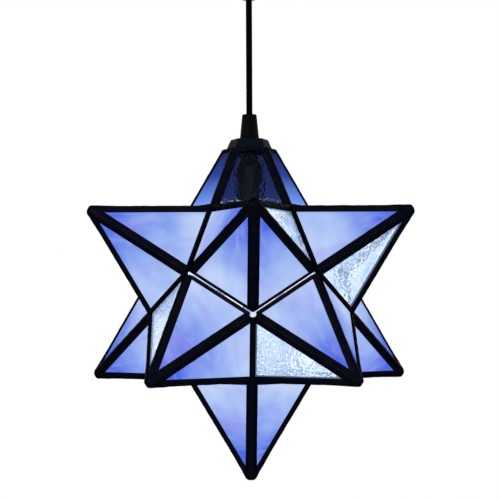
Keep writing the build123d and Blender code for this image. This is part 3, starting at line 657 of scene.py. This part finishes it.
class GlassSettings(bpy.types.PropertyGroup):
    # colours of the painted glow of the opal glass, of its painted lit side and of its painted shade
    pale_colour: colour("Pale", "Opal glass near the bulb", "#C0D2F2")
    middle_colour: colour("Middle", "Opal glass half way up a point", "#8EA8E9")
    deep_colour: colour("Deep", "Opal glass at the tips", "#4A66DC")
    violet_colour: colour("Violet", "Violet wisps in the opal glass", "#9A92E4")
    thread_colour: colour("Threads", "Thin pale threads in the opal glass", "#B9CCEE")
    lit_colour: colour("Lit side", "Side of the opal glass that faces the bulb", "#F4FBFF")
    lit_low_colour: colour("Lit side, dense", "The same where the glass is denser", "#B8CFF0")
    shaded_side_colour: colour("Shaded side", "Inner side of the opal glass in the shade", "#141F48")
    evening_colour: colour("Evening", "Opal glass where the shade starts", "#6E93EA")
    dusk_colour: colour("Dusk", "Opal glass half way into the shade", "#2C3F92")
    shade_colour: colour("Shade", "Opal glass at the lampholder", "#141A3C")
    glow_near: length("Glow near", "Distance from the star's centre where the glass is palest", 0.094)
    glow_far: length("Glow far", "Distance from the star's centre where the glass is deepest", 0.152)
    # the glow is painted light: emission in the glass, not light let through
    glow_strength: number("Glow", "Strength of the light that comes through the opal glass", 1.0)
    shade_foot: length("Shade foot", "Height over the star's centre at which the shade starts", 0.072)
    shade_depth: length("Shade depth", "Height in which the shade grows", 0.062)
    # painted light: the light scattered by the clear glass is painted in as emission
    scatter_strength: number("Scatter", "Strength of the light that clear glass scatters", 0.12)
    hammer_spacing: length("Dimple spacing", "Distance between the dimples of clear glass", 0.0028)
    hammer_depth: length("Dimple depth", "Depth of the dimples of clear glass", 0.0003)


class LightSettings(bpy.types.PropertyGroup):
    bulb_strength: number("Bulb", "Glow of the bulb", 1.15)
    key_power: number("Key lamp", "Power of the soft lamp at the front", 20.0, unit="POWER")
    fill_power: number("Fill lamp", "Power of the soft lamp at the side", 9.0, unit="POWER")
    floor_power: number("Floor lamp", "Power of the lamp over the floor", 90.0, unit="POWER")
    room_light: number("Room light", "Even light from all round", 0.36)
    floor_level: length("Floor level", "Height of the floor; the ceiling is at 0", -2.6)
    camera_distance: length("Camera distance", "Camera to the star's centre", 1.615, min=0.5)
    camera_azimuth: angle("Camera azimuth", "Turn of the camera round the lamp", -1.39)
    camera_aim: length("Camera aim", "How far above the star's centre the camera aims", 0.0420)
    camera_roll: angle("Camera roll", "Roll of the camera", -0.26)


# ---- came


def came_section(strip, groove, slope, shift, radius, turn):
    """A C-shaped came section: distances from the pane's edge, heights over the glass and edge plane.

    It runs from the lip over the outer flange, round the solder to the plane that parts it from the
    next pane, down that plane, back under the glass and out along the groove. On the edge plane,
    which bound marks, the distance is shift + slope x height. turn is 1 over a ridge, -1 in a valley
    and 0 at a cut end.
    """
    half_turn = math.pi / 2 - HALF_DIHEDRAL
    t = np.linspace(0, half_turn, 5)
    start = shift + slope * CAME_OUTER + abs(slope) * radius
    arc_distance = start - radius * np.sin(t)
    arc_height = CAME_OUTER - turn * radius * (1 - np.cos(t))
    lip = CAME_OUTER * np.array([0, 0.5, 0.82, 1.0])
    lip_distance = [strip, strip, strip - LIP_ROUNDS[0], strip - LIP_ROUNDS[1]]
    back_distance = [0, 0, strip - FLANGE_ROUND, strip, strip, groove, groove]
    back_height = [-SLOT_DEPTH / 2, -CAME_DEPTH, -CAME_DEPTH, FLANGE_BEVEL - CAME_DEPTH]
    distance = np.concatenate([lip_distance, arc_distance, back_distance])
    height = np.concatenate([lip, arc_height, back_height, [-SLOT_DEPTH, -SLOT_DEPTH, 0]])
    bound = np.zeros(len(height), bool)
    bound[8:11] = True
    return distance, height, bound, slope, shift


def came_ring(corners, sections, settings, place, spacing):
    """The came round one pane: C sections carried along its sides and mitred at its corners.

    A side's points keep their distance from it, so each lies on a line offset from the side, and at a
    corner on both offset lines. Near a corner the height eases to the mean of the two sides' heights.
    Along the outer flange the height gains the solder's unevenness and its swelling near the tip.
    Points follow each other along a side at the given spacing.
    """
    corners = np.array(corners, float)
    count = len(corners)
    direction = np.roll(corners, -1, axis=0) - corners
    span = np.linalg.norm(direction, axis=1)
    direction /= span[:, None]
    inward = np.stack([-direction[:, 1], direction[:, 0]], axis=1)
    mitre_height = [(sections[k - 1][1] + sections[k][1]) / 2 for k in range(count)]

    def offset(side, height):
        distance, _, bound, slope, shift = sections[side]
        return np.where(bound, shift + slope * height, distance)

    mitres = []
    for k in range(count):
        normals = np.stack([inward[k - 1], inward[k]])
        lines = normals @ corners[k]
        reach = np.stack([offset(k - 1, mitre_height[k]), offset(k, mitre_height[k])])
        mitres.append(np.linalg.solve(normals, lines[:, None] + reach).T)
    rows = []
    for k in range(count):
        following = (k + 1) % count
        steps = max(8, int(span[k] / spacing))
        f = np.linspace(0, 1, steps, endpoint=False)[:, None]
        height = sections[k][1] + 0 * f
        near = 1 - smooth_step(f * span[k] / MITRE_EASE)
        height = height + (mitre_height[k] - sections[k][1]) * near
        far = 1 - smooth_step((1 - f) * span[k] / MITRE_EASE)
        height = height + (mitre_height[following] - sections[k][1]) * far
        start, end = mitres[k] @ direction[k], mitres[following] @ direction[k]
        along = start + (end - start) * f
        level = corners[k] @ inward[k]

        def placed(height):
            sideways = offset(k, height) + level
            flat = along[..., None] * direction[k] + sideways[..., None] * inward[k]
            return place(flat[..., 0], flat[..., 1], height)

        level_place = placed(height)
        lump = unevenness(level_place, settings.lump_spacing) * settings.lump_height
        lump = lump + tip_swelling(level_place[..., 2])
        rows.append(placed(height + lump * smooth_step((height - LUMP_FOOT) / LUMP_RISE)))
    return np.concatenate(rows)


def face_apothem(height, offset):
    """Apothem at a height of the five glass planes of a point, moved out by offset."""
    return (TIP_DISTANCE - height) * math.tan(LEAN) + offset / math.cos(LEAN)


def rounded_pentagon(angle, apothem, rounding):
    """Radius of a pentagon with an apothem and rounded corners, towards each angle.

    The p-norm of the cosines to the five sides' directions, over the apothem. p is the power that
    takes as much off a corner as an arc of the rounding's radius does.
    """
    sides = HALF_CORNER + np.arange(5) * CORNER
    cosines = np.maximum(np.cos(angle[..., None] - sides), 0)
    corner_loss = (1 / math.cos(HALF_CORNER) - 1) * math.cos(HALF_CORNER)
    power = -1 / np.log2(1 - corner_loss * rounding / apothem)
    return apothem * (cosines ** power[..., None]).sum(axis=-1) ** (-1 / power)


def tip_swelling(height):
    """How much thicker the solder is at a height in a point: it grows evenly to the tip."""
    start = TIP_DISTANCE - TIP_CUT - TIP_SWELL_LENGTH
    return TIP_SWELL * np.clip((height - start) / TIP_SWELL_LENGTH, 0, 1)


def tip_bead(settings):
    """The solder that fills a tip: a rounded pentagon that follows the came and ends bluntly."""
    top = TIP_DISTANCE - TIP_CUT
    start = top - TIP_BEAD_LENGTH
    edge, sunk, lump, lump_spacing = 0.0019, 0.0004, 0.025, 0.011
    turn_in = np.linspace(0, math.pi / 2, 8)[1:]
    level = np.concatenate([np.linspace(start, top - edge, 20), top - edge * (1 - np.sin(turn_in))])
    thickness = CAME_OUTER + tip_swelling(level) - sunk * (1 - smooth_step((level - start) / MITRE_EASE))
    into = np.clip((level - (top - edge)) / edge, 0, 1)
    apothem = face_apothem(level, thickness) - edge * (1 - np.sqrt(1 - into**2))
    angle = np.linspace(0, 2 * math.pi, 60, endpoint=False)[None, :]
    radius = rounded_pentagon(angle, apothem[:, None] + 0 * angle, settings.ridge_round)
    radius = np.concatenate([radius, radius[-1:] * 0.5, 0 * angle, 0 * angle])
    level = np.concatenate([level, [top, top, start]])[:, None] + 0 * angle
    grid = np.stack([radius * np.cos(angle), radius * np.sin(angle), level], axis=-1)
    grid[..., :2] *= 1 + lump * unevenness(grid, lump_spacing)[..., None]
    return surface(grid, close_rows=True, close_columns=True)


def cut_corner_holes(points):
    """Points of one part of a came, moved out of the holes at the door's lower corners.

    A hole is a rod on the line from the star's centre through the corner. A point inside it moves
    straight away from the line, onto the rod; one on the line itself moves towards the part's middle.
    """
    middle = points.mean(axis=0) - STAR_CENTRE
    for number, radius in CORNER_HOLES.items():
        around = number * CORNER
        corner = BASE_CORNER_RADIUS * np.array([math.cos(around), math.sin(around), 0])
        along = point_axes("door") @ (corner + [0, 0, BASE_DISTANCE])
        along /= np.linalg.norm(along)
        away = points - STAR_CENTRE
        away = away - (away @ along)[:, None] * along
        distance = np.linalg.norm(away, axis=1, keepdims=True)
        away = np.where(distance > HOLE_AXIS, away, middle - (middle @ along) * along)
        away /= np.linalg.norm(away, axis=1, keepdims=True)
        points = points + away * np.maximum(radius - distance, 0)
    return points


def point_came(name, settings):
    """The came rings of a point and the solder at its tip, in the frame's axes, with their lamp_side."""
    slope = 1 / math.tan(HALF_DIHEDRAL)
    ridge = came_section(RIDGE_STRIP, RIDGE_INSET - GLASS_FIT, -slope, 0, settings.ridge_round, 1)
    shift, rounding = (DOOR_SHIFT, 0) if name == "door" else (0, settings.valley_round)
    groove = VALLEY_INSET + shift - GLASS_FIT
    foot = came_section(VALLEY_STRIP + shift, groove, slope, shift, rounding, -1)
    half_edge = PENTAGON_EDGE / 2
    corners = [(-half_edge, 0), (half_edge, 0), (0, PANE_HEIGHT)]
    sections = [foot, ridge, ridge]
    if name == "top":
        half_top = (PANE_HEIGHT - PANE_CUT) * math.tan(TIP_HALF_ANGLE)
        corners = [*corners[:2], (half_top, PANE_CUT), (-half_top, PANE_CUT)]
        sections = [foot, ridge, came_section(TOP_STRIP, TOP_WEB, math.tan(LEAN), 0, 0, 0), ridge]
    parts = []
    lamp_side = []
    holed = name in HOLED_POINTS
    spacing = HOLED_SPACING if holed else CAME_SPACING
    _, height, on_edge_plane, _, _ = foot
    bare = (height < -SLOT_DEPTH) & ~(on_edge_plane & holed)
    for pane in range(5):
        place = partial(on_pane, pane)
        ring = came_ring(corners, sections, settings, place, spacing)
        ring[..., 2] = np.minimum(ring[..., 2], TIP_DISTANCE - TIP_CUT - RING_SINK)
        parts.append(surface(ring, close_rows=True, close_columns=True))
        lamp_side.append(np.tile(bare, len(ring)))
    if name != "top":
        parts.append(tip_bead(settings))
        bead_level = parts[-1][0][:, 2]
        lamp_side.append(bead_level < bead_level.min() + 1e-6)
    placed = [(from_point(name, points), quads) for points, quads in parts]
    if holed:
        placed = [(cut_corner_holes(points), quads) for points, quads in placed]
    return placed, np.concatenate(lamp_side)


class MakeCame(bpy.types.Operator):
    """Makes the soldered came of the twelve points"""

    bl_idname = "star_pendant.make_came"
    bl_label = "Came"

    def execute(self, context):
        settings = context.scene.star_came
        patina = patina_on_came()
        for name in POINT_NAMES:
            parts, lamp_side = point_came(name, settings)
            piece, body, nodes = f"{name}_soldered_came", point_body(name), [f"{name}_point_came"]
            add_piece(piece, parts, patina, body, nodes, True, 50.0, lamp_side)
        finish_nodes(patina, "hinge_tube_star", "hinge_tubes_door", "hinge_wire", "door_stop_tabs")
        return {"FINISHED"}


# ---- glass


def pane_sheet(pane, name, rows, columns, relief=0.0):
    """One pane as a closed plate, with its sheet places and which side faces the bulb.

    Across it runs from one ridge to the other and up it from foot to tip, so its width falls evenly;
    the outer face rolls by relief, fading out at the edges, which the came holds.
    """
    shift = DOOR_SHIFT if name == "door" else 0
    foot = VALLEY_INSET + shift
    peak = PANE_HEIGHT - RIDGE_INSET / math.sin(TIP_HALF_ANGLE)
    end = PANE_CUT - TOP_WEB - GLASS_FIT if name == "top" else peak - PANE_TIP_GAP
    up = np.linspace(foot, end, rows)[:, None]
    share = np.linspace(-1, 1, columns)[None, :]
    across = share * (peak - up) * math.tan(TIP_HALF_ANGLE)
    up = up + 0 * share
    fade = smooth_step((1 - np.abs(share)) / 0.25)
    fade = fade * smooth_step((up - foot) / EDGE_FADE) * smooth_step((end - up) / EDGE_FADE)
    flat = np.stack([across, up, 0 * up], axis=-1) + 0.31 * (pane + 1) + 0.07 * len(name)
    outer_height = -GLASS_FIT + relief * fade * (unevenness(flat, ROLL_SPACING) - 1) / 2
    outer = on_pane(pane, across, up, outer_height)
    inner = on_pane(pane, across, up, -GLASS_FIT - GLASS_THICKNESS + 0 * up)
    grid = np.concatenate([outer, inner[:, ::-1]], axis=1)
    quads = grid_quads(rows, 2 * columns, close_columns=True)
    first = np.arange(columns - 1)
    cap = np.stack([first, 2 * columns - 1 - first, 2 * columns - 2 - first, first + 1], axis=1)
    last = (rows - 1) * 2 * columns
    quads = np.concatenate([quads, cap, cap[:, ::-1] + last])
    points = from_point(name, grid.reshape(-1, 3))
    number = POINT_NAMES.index(name)
    turn = 0.7 * pane + 1.3 * number
    spread = np.array([[math.cos(turn), -math.sin(turn)], [math.sin(turn), math.cos(turn)]])
    places = np.stack([across, up], axis=-1) @ spread.T + 0.4 * (pane + 5 * number)
    places = np.concatenate([places, places[:, ::-1]], axis=1).reshape(-1, 2)
    lamp_side = np.tile(np.repeat([0.0, 1.0], columns), rows)
    return (points, facing_out(points, quads)), places, lamp_side


def add_panes(name, chosen, material, node, grid, relief):
    """One piece of glass panes, chosen as (point, pane) pairs, each in the rows and columns of grid."""
    plates, places, sides = zip(*[pane_sheet(pane, point, *grid, relief) for point, pane in chosen])
    body, lamp_side = point_body(chosen[0][0]), np.concatenate(sides)
    piece = add_piece(name, plates, material, body, [node], lamp_side=lamp_side)
    add_sheet_map(piece, np.concatenate(places))


class MakeGlass(bpy.types.Operator):
    """Makes the opal and the clear panes"""

    bl_idname = "star_pendant.make_glass"
    bl_label = "Glass"

    def execute(self, context):
        settings = context.scene.star_glass
        opal, clear = opal_glass(settings), hammered_glass(settings)
        for name in POINT_NAMES:
            chosen = [(name, pane) for pane in range(5) if pane != clear_pane(name)]
            node = f"{name}_point_opal_panes"
            add_panes(f"{name}_opal_panes", chosen, opal, node, OPAL_GRID, OPAL_RELIEF)
        fixed = [(name, clear_pane(name)) for name in POINT_NAMES if name != "door"]
        for name, chosen, node in (
            ("star_hammered_panes", fixed, "fixed_clear_panes"),
            ("door_hammered_pane", [("door", clear_pane("door"))], "door_point_clear_pane"),
        ):
            add_panes(name, chosen, clear, node, CLEAR_GRID, CLEAR_RELIEF)
        return {"FINISHED"}


# ---- cap and glands


def cap_part():
    """The hollow five-sided cap: a profile turned about Z whose outer rows are rounded pentagons."""
    foot, top = 0.0235 * math.cos(HALF_CORNER), 0.0192 * math.cos(HALF_CORNER)
    height, wall, hole = CAP_HEIGHT, 0.0012, 0.0052
    slope = (foot - top) / height
    ceiling = height - wall
    profile = [(foot - wall, 0), (foot, 0), (foot - slope * 0.001, 0.001), (top, height), (hole, height)]
    profile += [(hole, ceiling), (foot - wall - slope * ceiling, ceiling)]

    def five_sided(angle, radius, level):
        share = smooth_step((radius - hole) / (0.75 * (top - hole)))
        pentagon = rounded_pentagon(angle - math.pi / 2 + 0 * radius, radius, 0.001)
        return radius + share * (pentagon - radius)

    points, quads = turned(softened(profile, 0.0007), 120, shape=five_sided)
    return points + np.array([0, 0, CAP_FOOT]), quads


def gland_part():
    """The tapered cord gland, standing on its wide end: a banded foot, a taper and a rounded mouth."""
    bore, socket, socket_depth, band = 0.0032, 0.00505, 0.009, 0.0015
    profile = [(bore, socket_depth), (socket, socket_depth), (socket, 0), (GLAND_WIDE, 0)]
    profile += [(GLAND_WIDE, band), (GLAND_WIDE - 0.00018, band + 0.0002)]
    profile += [(GLAND_NARROW, GLAND_HEIGHT), (bore, GLAND_HEIGHT)]
    return turned(softened(profile, 0.0005), 64)


class MakeCap(bpy.types.Operator):
    """Makes the cap on the cut-off point, and the glands at both ends of the cord"""

    bl_idname = "star_pendant.make_cap"
    bl_label = "Cap and glands"

    def execute(self, context):
        coat, nylon, steel = powder_coat(), grained("Black moulded nylon"), plated_steel()
        add_piece("pressed_cap", [cap_part()], coat, "star", ["star_cap"])
        up = Matrix.Translation((0, 0, CAP_FOOT + CAP_HEIGHT))
        down = Matrix.Translation((0, 0, -CANOPY_HEIGHT)) @ Matrix.Rotation(math.pi, 4, "Y")
        for name, place, body, node in (
            ("star_cord_gland", up, "star", "star_gland"),
            ("ceiling_cord_gland", down, "ceiling_fitting", "canopy_gland"),
        ):
            add_piece(name, [moved(gland_part(), place)], nylon, body, [node])
        finish_nodes(steel, "star_gland_screw", "canopy_gland_screw")
        finish_nodes(coat, "cap_washer", "cap_locknut")
        return {"FINISHED"}


# ---- cord


def cord_part(low, high):
    """A straight round cord: circles carried up Z, closed at both ends."""
    radius = CORD_DIAMETER / 2
    level = np.linspace(low, high, int((high - low) / 0.0015))
    side = np.stack([np.full(len(level), radius), level], axis=1)
    profile = np.concatenate([[(0, low)], side, [(0, high)]])
    return turned(profile, 40, closed=False)


class MakeCord(bpy.types.Operator):
    """Makes the cord between the two glands, in two stretches"""

    bl_idname = "star_pendant.make_cord"
    bl_label = "Cord"

    def execute(self, context):
        vinyl = grained("Black PVC sheath")
        stretches = (
            ("ceiling_cord", "cord_upper", CORD_MIDDLE, CORD_TOP, "ceiling_fitting", "cord_head"),
            ("star_cord", "cord_lower", CORD_FOOT, CORD_MIDDLE, "cord_head", "cord"),
        )
        for name, node, low, high, upper_body, lower_body in stretches:
            piece = add_piece(name, [cord_part(low, high)], vinyl, None, [node], merge=True)
            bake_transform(piece)
        finish_nodes(vinyl, "canopy_cord_end", "holder_cord_end")
        return {"FINISHED"}


# ---- ceiling fitting


class MakeCeilingFitting(bpy.types.Operator):
    """Finishes the canopy, and the bracket, screws and terminal block inside it"""

    bl_idname = "star_pendant.make_ceiling_fitting"
    bl_label = "Ceiling fitting"

    def execute(self, context):
        steel = bpy.data.materials["Zinc-plated steel"]
        finish_nodes(bpy.data.materials["Black powder coat"], "canopy")
        finish_nodes(steel, "mounting_bracket", "canopy_screws", "canopy_locknut", "canopy_threaded_tube")
        finish_nodes(steel, "terminal_clamp_screws", "terminal_block_screw")
        finish_nodes(grained("White moulded thermoplastic"), "terminal_block")
        return {"FINISHED"}


# ---- lampholder and bulb


class MakeLampholder(bpy.types.Operator):
    """Finishes the lampholder in the top point"""

    bl_idname = "star_pendant.make_lampholder"
    bl_label = "Lampholder"

    def execute(self, context):
        finish_nodes(grained("Black phenolic"), "holder_cap", "holder_body")
        finish_nodes(bpy.data.materials["White moulded thermoplastic"], "holder_insert")
        finish_nodes(bpy.data.materials["Zinc-plated steel"], "star_threaded_tube")
        brass = grained("Pressed brass")
        finish_nodes(brass, "holder_terminal_screws", "holder_screw_shell", "holder_centre_contact")
        return {"FINISHED"}


class MakeBulb(bpy.types.Operator):
    """Finishes the bulb, lit"""

    bl_idname = "star_pendant.make_bulb"
    bl_label = "Bulb"

    def execute(self, context):
        finish_nodes(grained("Rolled aluminium"), "bulb_contact", "bulb_screw_cap")
        finish_nodes(bpy.data.materials["White moulded thermoplastic"], "bulb_collar")
        finish_nodes(milky_bulb_glass(context.scene.star_light), "bulb_globe")
        return {"FINISHED"}


# ---- stage


def floor_material():
    """Pale matt plaster with faint trowel marks."""
    material, shader, places = start_material("Pale matt plaster", "#F2F2F0")
    trowel = speckle(material, places, 0.08, 4.0)
    inputs = {
        "Base Color": two_tone(material, trowel, "#ECECEA", "#F6F6F4"),
        "Roughness": 0.85,
        "Normal": bumps(material, trowel, 0.001),
    }
    return set_inputs(material, shader, inputs)


def add_lamp(name, place, aim, size, power):
    """A soft square lamp at a place, turned to aim, that the camera doesn't see."""
    data = bpy.data.lights.new(name, "AREA")
    data.shape = "SQUARE"
    data.size = size
    data.energy = power
    lamp = bpy.data.objects.new(name, data)
    lamp.location = place
    lamp.rotation_euler = (Vector(aim) - Vector(place)).to_track_quat("-Z", "Y").to_euler()
    lamp.visible_camera = False
    bpy.context.scene.collection.objects.link(lamp)


def white_room(strength):
    """A world that is white where it is seen, mirrored or seen through glass, and an even grey light."""
    world = bpy.data.worlds.new("White room")
    world.use_nodes = True
    world.node_tree.nodes.clear()
    path = add_node(world, "LightPath").outputs
    seen = path["Is Camera Ray"]
    for ray in ("Is Glossy Ray", "Is Transmission Ray"):
        seen = add_node(world, "Math", {0: seen, 1: path[ray]}, operation="MAXIMUM").outputs[0]
    level = between(world, seen, 0.0, 1.0, strength, 1.0)
    background = add_node(world, "Background", {"Color": (1.0, 1.0, 1.0, 1.0), "Strength": level})
    add_node(world, "OutputWorld", {"Surface": background.outputs["Background"]})
    bpy.context.scene.world = world


def add_camera(settings):
    """The camera, level with the star and aimed a little above its centre."""
    data = bpy.data.cameras.new("camera")
    data.sensor_width = 36.0
    data.lens = 121.1
    data.clip_start, data.clip_end = 0.05, 50.0
    camera = bpy.data.objects.new("camera", data)
    centre = Vector(CENTRE)
    azimuth = settings.camera_azimuth
    place = centre + settings.camera_distance * Vector((math.sin(azimuth), -math.cos(azimuth), 0))
    aim = centre + Vector((0, 0, settings.camera_aim)) - place
    turn = aim.to_track_quat("-Z", "Y").to_matrix().to_4x4()
    roll = Matrix.Rotation(settings.camera_roll, 4, "Z")
    camera.matrix_world = Matrix.Translation(place) @ turn @ roll
    bpy.context.scene.collection.objects.link(camera)
    bpy.context.scene.camera = camera


class MakeStage(bpy.types.Operator):
    """Makes the floor, the soft lamps, the white room and the camera"""

    bl_idname = "star_pendant.make_stage"
    bl_label = "Stage"

    def execute(self, context):
        settings = context.scene.star_light
        rings, segments = 12, 96
        turn = np.linspace(0, 2 * math.pi, segments, endpoint=False)
        ring = np.linspace(0, 1, rings)[:, None] * FLOOR_RADIUS
        level = settings.floor_level + 0 * ring * turn
        grid = np.stack([ring * np.cos(turn), ring * np.sin(turn), level], axis=-1)
        quads = grid_quads(rings, segments, close_columns=True)
        floor = add_piece("floor", [(grid.reshape(-1, 3), quads)], floor_material(), None, merge=True)
        add_lamp("key_lamp", (-1.5, -2.2, 0.9), CENTRE, 1.6, settings.key_power)
        add_lamp("fill_lamp", (2.1, -1.2, 0.1), CENTRE, 1.8, settings.fill_power)
        on_floor, over_floor = ((0.0, 0.0, settings.floor_level + height) for height in (0.0, 1.5))
        add_lamp("floor_lamp", over_floor, on_floor, 6.0, settings.floor_power)
        white_room(settings.room_light)
        add_camera(settings)
        context.scene.view_settings.view_transform = "Standard"
        return {"FINISHED"}


# ---- add-on

MAKERS = (MakeCame, MakeGlass, MakeCap, MakeCord)
MAKERS += (MakeCeilingFitting, MakeLampholder, MakeBulb, MakeStage)
SETTINGS = {"star_came": CameSettings, "star_glass": GlassSettings, "star_light": LightSettings}


class StarPendantPanel(bpy.types.Panel):
    """Lists the pieces of the star pendant and their settings"""

    bl_idname = "VIEW3D_PT_star_pendant"
    bl_label = "Star Pendant"
    bl_space_type = "VIEW_3D"
    bl_region_type = "UI"
    bl_category = "Star Pendant"

    def draw(self, context):
        column = self.layout.column()
        for maker in MAKERS:
            column.operator(maker.bl_idname)
        for name, group in SETTINGS.items():
            column.separator()
            for key in group.__annotations__:
                column.prop(getattr(context.scene, name), key)


def register():
    for group in SETTINGS.values():
        bpy.utils.register_class(group)
    for name, group in SETTINGS.items():
        setattr(bpy.types.Scene, name, PointerProperty(type=group))
    for kind in (*MAKERS, StarPendantPanel):
        bpy.utils.register_class(kind)


def unregister():
    for kind in (StarPendantPanel, *reversed(MAKERS)):
        bpy.utils.unregister_class(kind)
    for name, group in SETTINGS.items():
        delattr(bpy.types.Scene, name)
        bpy.utils.unregister_class(group)


def main():
    """Registers the add-on and makes every piece in order."""
    register()
    for maker in MAKERS:
        group, action = maker.bl_idname.split(".")
        getattr(getattr(bpy.ops, group), action)()


if __name__ == "__main__":
    main()
